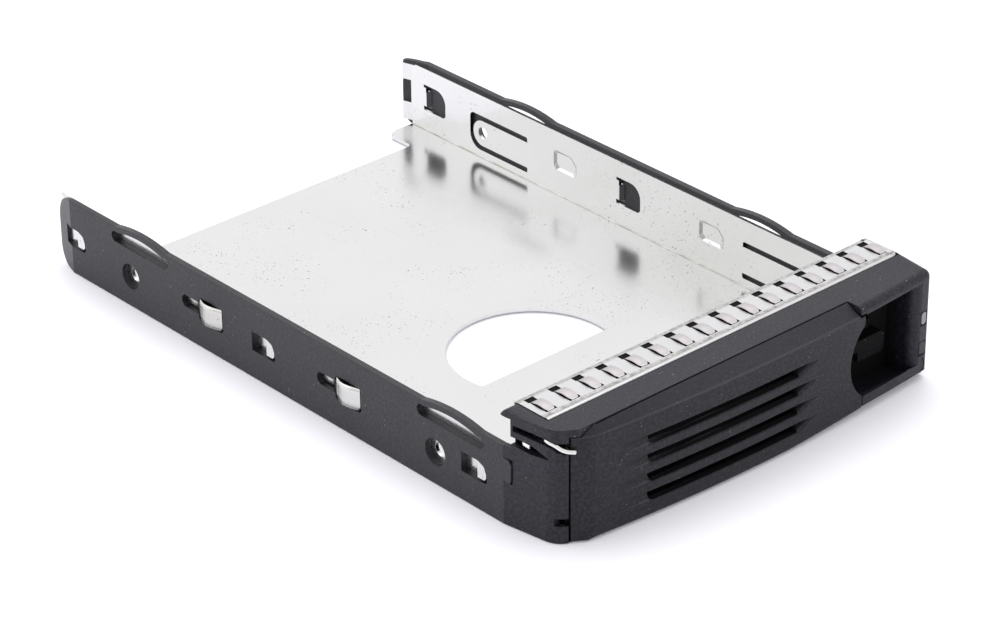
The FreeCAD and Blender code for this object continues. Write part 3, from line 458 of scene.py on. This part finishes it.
def rounded_run(points, steps=6):
    """Catmull-Rom curve through the points."""
    line = []
    for i in range(len(points) - 1):
        a, b = points[max(0, i - 1)], points[i]
        c, d = points[i + 1], points[min(len(points) - 1, i + 2)]
        for k in range(steps):
            f = k / steps
            line.append(0.5 * (2 * b + (c - a) * f + (2 * a - 5 * b + 4 * c - d) * f ** 2
                               + (3 * b - a - 3 * c + d) * f ** 3))
    line.append(points[-1])
    return line


def helix(x, y, radius, low, high, turns, first, way, per_turn=32):
    """Coil round an upright axis. It starts at the angle first in degrees, and way is 1 or -1."""
    steps = round(turns * per_turn)
    line = []
    for i in range(steps + 1):
        angle = math.radians(first) + way * 2 * math.pi * i / per_turn
        height = low + (high - low) * i / steps
        line.append(Vector((x + radius * math.cos(angle), y + radius * math.sin(angle), height)))
    return line


def tube_between(rings):
    """Closed skin through equal rings of points."""
    verts = [point for ring in rings for point in ring]
    n = len(rings[0])
    faces = [(i * n + k, i * n + (k + 1) % n, (i + 1) * n + (k + 1) % n, (i + 1) * n + k)
             for i in range(len(rings) - 1) for k in range(n)]
    faces += [tuple(reversed(range(n))), tuple(range((len(rings) - 1) * n, len(rings) * n))]
    return verts, faces


def wire_mesh(line, radius, sides=14):
    """Round wire with slightly rounded ends. The ring is carried along the line without twist."""
    last = len(line) - 1
    ways = [(line[min(i + 1, last)] - line[max(i - 1, 0)]).normalized() for i in range(last + 1)]
    # Each station has a point, a direction and a share of the radius
    stations = [(line[0] - ways[0] * radius * 0.25, ways[0], 0.7)]
    stations += [(point, way, 1.0) for point, way in zip(line, ways)]
    stations.append((line[-1] + ways[-1] * radius * 0.25, ways[-1], 0.7))
    side = ways[0].orthogonal().normalized()
    rings = []
    for point, way, share in stations:
        side = (side - way * side.dot(way)).normalized()
        up = way.cross(side)
        angles = [2 * math.pi * k / sides for k in range(sides)]
        rings.append([point + (side * math.cos(angle) + up * math.sin(angle)) * radius * share
                      for angle in angles])
    return tube_between(rings)


# Pieces
def lever_spring_wire():
    """Lever spring: a leg in the side slot, one and a half turns, and a leg hooked over the lever's edge."""
    low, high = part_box("lever_spring")
    wire = 0.5 * MM
    coil_r = 2.4 * MM
    coil_x = low[0] + 6.85 * MM
    coil_y = high[1] - wire - coil_r
    low_z = low[2] + wire
    top_z = low_z + 2.3 * MM
    rear_y, front_y = coil_y + coil_r, coil_y - coil_r
    low_leg = [Vector((low[0] + x * MM, rear_y + y * MM, low_z))
               for x, y in ((0.52, -2.3), (0.70, -0.5), (2.3, 0))]
    hook = ((2.9, 0, 0), (1.75, -1.0, 0.1), (2.1, -3.0, -0.2), (2.75, -4.2, -0.9), (3.45, -5.2, -1.2),
            (4.55, -6.25, -1.3))
    high_leg = [Vector((low[0] + x * MM, front_y + y * MM, top_z + z * MM)) for x, y, z in hook]
    coil = helix(coil_x, coil_y, coil_r, low_z, top_z, turns=1.5, first=90, way=-1)
    line = rounded_run(low_leg + coil[:1])[:-1] + coil + rounded_run(coil[-1:] + high_leg)[1:]
    own_piece("lever_spring_wire", *wire_mesh(line, wire), spring_steel, "bright_steel", "caddy",
              "lever_spring")


def latch_spring_wire():
    """Latch spring: a small compression spring under the latch's shelf."""
    low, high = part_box("latch_spring")
    wire = 0.24 * MM
    radius = (high[0] - low[0]) / 2 - wire
    line = helix((low[0] + high[0]) / 2, (low[1] + high[1]) / 2, radius, low[2] + wire, high[2] - wire,
                 turns=4.5, first=0, way=1)
    own_piece("latch_spring_wire", *wire_mesh(line, wire, 10), spring_steel, "bright_steel", "latch",
              "latch_spring")


# The contact strip: fingers, the places of their points across them, and their widths towards the tip
FINGERS, FINGER_PITCH, FINGER_WIDTH, FINGER_RISE = 16, 6.4 * MM, 2.45 * MM, 0.62 * MM
ACROSS = (0.0, 0.5, 0.8, 1.0)
TIP = (1.0, 0.97, 0.86, 0.62)
STRIP_CORNER, STRIP_FOLD_R = 1.5 * MM, 0.55 * MM


def strip_profile(front, rear, top, bottom, slot_front, root, notch_rear):
    """Section of the strip from its front bead over its top and down its rear fold, as (y, z)."""
    bead = ((0, -0.18), (0.12, -0.02), (0.45, 0.10), (0.8, 0.08), (1.1, -0.02), (1.4, -0.05))
    profile = [(front + y * MM, top + z * MM) for y, z in bead]
    profile.append((slot_front - 0.5 * MM, top - 0.01 * MM))
    profile += [(y, top) for y in (slot_front, root, notch_rear, rear - 0.75 * MM)]
    for k in range(1, 6):
        angle = math.radians(18 * k)
        profile.append((rear - STRIP_FOLD_R * (1 - math.sin(angle)),
                        top - STRIP_FOLD_R * (1 - math.cos(angle))))
    profile.append((rear, bottom + 0.1 * MM))
    return profile


def strip_finger(verts, faces, ring, x, root, tip, top, steps=12):
    """Adds a finger that bows up from the root and narrows to a rounded tip; ring is its root's points."""
    for s in range(1, steps + 1):
        f = s / steps
        narrow = TIP[max(0, s - steps + 3)]
        lift = FINGER_RISE * math.sin(math.pi * min(1.0, f * 0.98)) ** 0.8 - 0.05 * MM * f
        new = []
        for part in ACROSS:
            crown = -0.10 * MM * (2 * part - 1) ** 2 * math.sin(math.pi * f)
            new.append(len(verts))
            verts.append((x + FINGER_WIDTH * (0.5 + (part - 0.5) * narrow), root + (tip - root) * f,
                          top + lift + crown))
        faces += [(ring[k], new[k], new[k + 1], ring[k + 1]) for k in range(3)]
        ring = new


def contact_strip():
    """Tinned strip folded over the bezel's lip: a bead along the front, bowed fingers, a rounded fold."""
    low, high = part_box("contact_strip")
    left, right = low[0] + 0.1 * MM, high[0] - 0.75 * MM
    front, rear = low[1] + 0.15 * MM, high[1]
    top, bottom = high[2] - 0.5 * MM, low[2]
    slot_front, root, notch_rear = front + 2.2 * MM, front + 7.15 * MM, rear - 1.15 * MM
    profile = strip_profile(front, rear, top, bottom, slot_front, root, notch_rear)
    rows = len(profile)
    slot_row = [y for y, z in profile].index(slot_front)

    # A finger's columns: the notch and the slot before it, its own points, and the slot after it
    columns = [left, left + 0.25 * MM]
    starts = {}
    for i in range(FINGERS):
        x = left + 1.88 * MM + i * FINGER_PITCH
        starts[len(columns)] = x
        columns += [x - 0.45 * MM, x - 0.2 * MM]
        columns += [x + share * FINGER_WIDTH for share in ACROSS]
        columns.append(x + FINGER_WIDTH + 0.25 * MM)
    columns += [right - STRIP_CORNER, right - 0.75 * MM, right - 0.2 * MM, right]

    verts, faces = [], []
    for x in columns:
        near_end = max(0.0, (x - (right - STRIP_CORNER)) / STRIP_CORNER)
        turned = STRIP_CORNER * (1 - math.sqrt(max(0.0, 1 - near_end ** 2)))
        verts += [(x, max(y, front + turned + (y - front) * 0.15), z) for y, z in profile]
    for c in range(len(columns) - 1):
        start = max((s for s in starts if s <= c), default=None)
        step = None if start is None else c - start
        for r in range(rows - 1):
            in_slot = r == slot_row and step in (1, 2, 3, 4, 5)
            in_notch = r == slot_row + 1 and step in (0, 1, 2, 3)
            if not in_slot and not in_notch:
                faces.append((c * rows + r, (c + 1) * rows + r, (c + 1) * rows + r + 1, c * rows + r + 1))
    for start, x in starts.items():
        ring = [(start + k) * rows + slot_row + 1 for k in (2, 3, 4, 5)]
        strip_finger(verts, faces, ring, x, root, slot_front + 0.16 * MM, top)
    piece = own_piece("contact_strip_fingers", verts, faces, strip_metal, "contact_metal", "caddy",
                      "contact_strip")
    thicken(piece, 0.18 * MM, -1)


def leaf(node, side, parts=4):
    """Side spring: the foot lies on the steel wall, a narrow neck passes the rail, the blade bows out."""
    low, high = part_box(node)
    foot = (low[0] if side > 0 else -high[0]) + 0.15 * MM
    rear = high[1]
    neck = rear - 5.4 * MM
    # Distance from the wall, and place along y from the neck, in mm
    bends = ((0, 2.0), (0.45, 1.0), (1.02, -0.1), (1.38, -1.1), (1.88, -2.6), (1.95, -3.8), (1.68, -5.3),
             (1.15, -6.9), (0.92, -7.6))
    plan = [(0, rear)] + [(out, neck + y * MM) for out, y in bends]
    line = rounded_run([Vector((side * (foot + out * MM), y, 0)) for out, y in plan], 5)
    verts, faces = [], []
    for point in line:
        wide = clamp((neck + 0.25 * MM - point.y) / (0.75 * MM))
        wide = wide * wide * (3 - 2 * wide)
        bottom = low[2] + (1 - wide) * 1.25 * MM
        top = high[2] - (1 - wide) * 1.0 * MM
        verts += [(point.x, point.y, bottom + (top - bottom) * k / parts) for k in range(parts + 1)]
    for i in range(len(line) - 1):
        for k in range(parts):
            a = i * (parts + 1) + k
            faces.append((a, a + 1, a + parts + 2, a + parts + 1))
    piece = own_piece(node + "_leaf", verts, faces, leaf_steel, "bright_steel", "caddy", node)
    thicken(piece, 0.28 * MM, 0)
    for face in piece.data.polygons:
        face.use_smooth = True


def lever_skirt():
    """The lower edge of the lever's skin: its face carries on down almost to the floor."""
    corner = ((-45.6, -81.88), (-45.2, -82.06), (-44.6, -82.25))
    places = [(x * MM, y * MM) for x, y in corner]
    start = -44.0 * MM
    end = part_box("ejector_lever")[1][0] - 0.04 * MM
    top, back = 2.35 * MM, 1.5 * MM
    steps = 48
    for i in range(steps + 1):
        x = start + (end - start) * i / steps
        places.append((x, bow_at(x) + 0.03 * MM))
    rings = []
    for x, front in places:
        foot = (0.35 + 0.95 * clamp((x / MM - 8) / 22)) * MM
        section = [(0, top), (0.01 * MM, 1.9 * MM), (0.10 * MM, foot + 0.55 * MM),
                   (0.28 * MM, foot + 0.18 * MM), (0.62 * MM, foot), (back, foot), (back, top)]
        rings.append([(x, front + y, z) for y, z in section])
    own_piece("lever_skirt", *tube_between(rings), lever_black, "black_plastic", "lever")


def hinge_sill():
    """The bezel's thin floor under the lever's hinge, which closes the joint beside the lever from below."""
    plan = ((-49.3, -34.2), (-48.95, -34.55), (-48.3, -34.75), (-47.0, -35.3), (-45.5, -35.6), (-44.2, -35.2),
            (-43.5, -33.6), (-43.9, -31.8), (-45.2, -31.0), (-49.0, -31.0), (-49.4, -31.6))
    middle_x, middle_y = -46.6, -33.2
    rings = []
    for z, size in ((0.02, 0.985), (0.05, 1.0), (0.18, 1.0), (0.21, 0.985)):
        rings.append([((middle_x + (x - middle_x) * size) * MM,
                       (middle_y + (y - middle_y) * size - DRAWING_Y) * MM, z * MM) for x, y in plan])
    own_piece("hinge_sill", *tube_between(rings), shaded_black, "black_plastic", "caddy")


def rail_end_cap():
    """The right rail's rear end, whose top edge turns inward over the flange of the steel wall."""
    # Inner side, outer side, drawing's y and top of each section, in mm
    stations = ((51.98, 53.05, 122.6, 18.04), (51.60, 52.95, 124.2, 18.03), (51.15, 52.55, 125.8, 18.0),
                (50.80, 52.10, 127.2, 17.95), (50.45, 51.65, 128.4, 17.85), (50.22, 51.25, 129.3, 17.65),
                (50.30, 51.05, 129.8, 17.3))
    foot, bevel = 16.95, 0.2
    rings = []
    for inner, outer, y, top in stations:
        turn = 0.3 * (outer - inner)
        inner_y, outer_y = y - DRAWING_Y - turn, y - DRAWING_Y + turn
        section = [(inner, inner_y, foot), (inner, inner_y, top - bevel), (inner + bevel, inner_y, top),
                   (outer - bevel, outer_y, top), (outer, outer_y, top - bevel), (outer, outer_y, foot)]
        rings.append([tuple(MM * length for length in point) for point in section])
    own_piece("rail_end_cap", *tube_between(rings), rail_black, "black_plastic", "caddy")


def cheek_line():
    """The dark joint line that curves through the lower part of the bezel's right cheek."""
    plan = ((50.30, 5.35), (50.62, 4.9), (50.86, 4.3), (50.93, 3.6), (50.80, 2.9), (50.45, 2.35),
            (49.75, 1.95))
    line = rounded_run([Vector((x * MM, bow_at(x * MM) + 0.05 * MM, z * MM)) for x, z in plan], 4)
    own_piece("cheek_line", *wire_mesh(line, 0.14 * MM, 10), shaded_black, "black_plastic", "caddy")


def lever_corner():
    """The end of the lever's upper band, which runs down to the top of its corner facet."""
    # Place, front and top of each section, in mm
    stations = ((-47.0, -80.93, 24.03), (-46.5, -81.27, 24.28), (-46.0, -81.60, 24.55),
                (-45.6, -81.88, 24.78), (-45.2, -82.07, 25.0), (-44.8, -82.21, 25.22),
                (-44.4, -82.31, 25.45), (-44.0, -82.39, 25.66), (-43.6, -82.45, 25.84),
                (-43.1, -82.51, 25.96))
    foot = 23.97
    rings = []
    for x, front, top in stations:
        rear = -80.93 if x < -44 else -81.0
        section = [(x, front, foot), (x, rear - 0.01, top), (x, rear, foot)]
        rings.append([tuple(MM * length for length in point) for point in section])
    own_piece("lever_corner", *tube_between(rings), lever_black, "black_plastic", "lever")


def pocket_wall():
    """The bezel's thin inner wall behind the lever spring, which closes the pocket towards the drive."""
    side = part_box("front_bezel")[0][0]
    left, right = side + 1.5 * MM, side + 9.5 * MM
    front, rear = -67.85 * MM, -67.30 * MM
    bottom, top = 14.0 * MM, 24.35 * MM
    bevel = 0.12 * MM
    rings = []
    for y, inset in ((front, bevel), (front + bevel, 0), (rear - bevel, 0), (rear, bevel)):
        rings.append([(left + inset, y, bottom + inset), (right - inset, y, bottom + inset),
                      (right - inset, y, top), (left + inset, y, top)])
    own_piece("spring_pocket_wall", *tube_between(rings), shaded_black, "black_plastic", "caddy")


lever_spring_wire()
latch_spring_wire()
contact_strip()
for node, side in (("left_rear_side_spring", -1), ("left_front_side_spring", -1),
                   ("right_rear_side_spring", 1), ("right_front_side_spring", 1)):
    leaf(node, side)
lever_skirt()
hinge_sill()
rail_end_cap()
cheek_line()
lever_corner()
pocket_wall()


# Floor and light
def studio_floor():
    """Plain pale floor."""
    mat, tree, shader, coord = new_material("floor")
    shader.inputs["Base Color"].default_value = (0.92, 0.92, 0.955, 1)
    shader.inputs["Roughness"].default_value = 0.6
    shader.inputs["Specular IOR Level"].default_value = 0.25
    shader.inputs["Emission Color"].default_value = (0.97, 0.97, 1.0, 1)
    shader.inputs["Emission Strength"].default_value = 0.10
    bpy.ops.mesh.primitive_plane_add(size=12, location=(0, 0, -0.2 * MM))
    floor = bpy.context.object
    floor.name = "floor"
    floor.data.materials.append(mat)
    return floor


def room_light():
    """Even light from all round, brighter behind the caddy than at its front left."""
    world = bpy.data.worlds.new("world")
    bpy.context.scene.world = world
    world.use_nodes = True
    tree = world.node_tree
    background = tree.nodes["Background"]
    background.inputs["Color"].default_value = (0.985, 0.985, 1.0, 1)
    coord = tree.nodes.new("ShaderNodeTexCoord")
    lean = tree.nodes.new("ShaderNodeVectorMath")
    lean.operation = "DOT_PRODUCT"
    lean.inputs[1].default_value = (0.70, 0.62, 0.35)
    tree.links.new(coord.outputs["Generated"], lean.inputs[0])
    strength = spread(tree, lean.outputs["Value"], -0.9, 0.8, 0.90, 1.24)
    tree.links.new(strength, background.inputs["Strength"])


def softbox(name, place, target, power, width=0.9, height=0.7):
    """Rectangular area light that faces a target."""
    data = bpy.data.lights.new(name, "AREA")
    data.shape = "RECTANGLE"
    data.size = width
    data.size_y = height
    data.energy = power
    lamp = bpy.data.objects.new(name, data)
    bpy.context.collection.objects.link(lamp)
    lamp.location = place
    lamp.rotation_euler = (Vector(target) - Vector(place)).to_track_quat("-Z", "Y").to_euler()


floor = studio_floor()
room_light()
softbox("top", (0.15, 0.26, 0.92), (0, 0, 0), power=3.0)
softbox("left", (-0.72, 0.62, 0.50), (0, 0.02, 0.01), power=1.25)

# The camera, fitted to the photograph: its angles, what it looks at, its distance and its shift aside
AZIMUTH, ELEVATION, ROLL = math.radians(-42.01), math.radians(29.07), math.radians(-0.42)
TARGET = Vector((0.0, 5.05 * MM, 12 * MM))
DISTANCE, ASIDE, ABOVE = 803.26 * MM, -7.193 * MM, 11.338 * MM
# Focal length in pixels of the photograph, and the photograph's width
FOCAL, PHOTO_WIDTH, SENSOR = 3663, 1000, 36.0
level = Vector((math.cos(AZIMUTH), math.sin(AZIMUTH), 0))
back = Vector((math.sin(AZIMUTH) * math.cos(ELEVATION), -math.cos(AZIMUTH) * math.cos(ELEVATION),
               math.sin(ELEVATION)))
upright = back.cross(level)
right = math.cos(ROLL) * level + math.sin(ROLL) * upright
up = -math.sin(ROLL) * level + math.cos(ROLL) * upright
camera_data = bpy.data.cameras.new("camera")
camera_data.sensor_width = SENSOR
camera_data.lens = SENSOR * FOCAL / PHOTO_WIDTH
camera_data.clip_start = 10 * MM
camera = bpy.data.objects.new("camera", camera_data)
bpy.context.collection.objects.link(camera)
place = TARGET - ASIDE * right - ABOVE * up + DISTANCE * back
camera.matrix_world = Matrix.Translation(place) @ Matrix((right, up, back)).transposed().to_4x4()
bpy.context.scene.camera = camera
bpy.context.scene.view_settings.view_transform = "Standard"
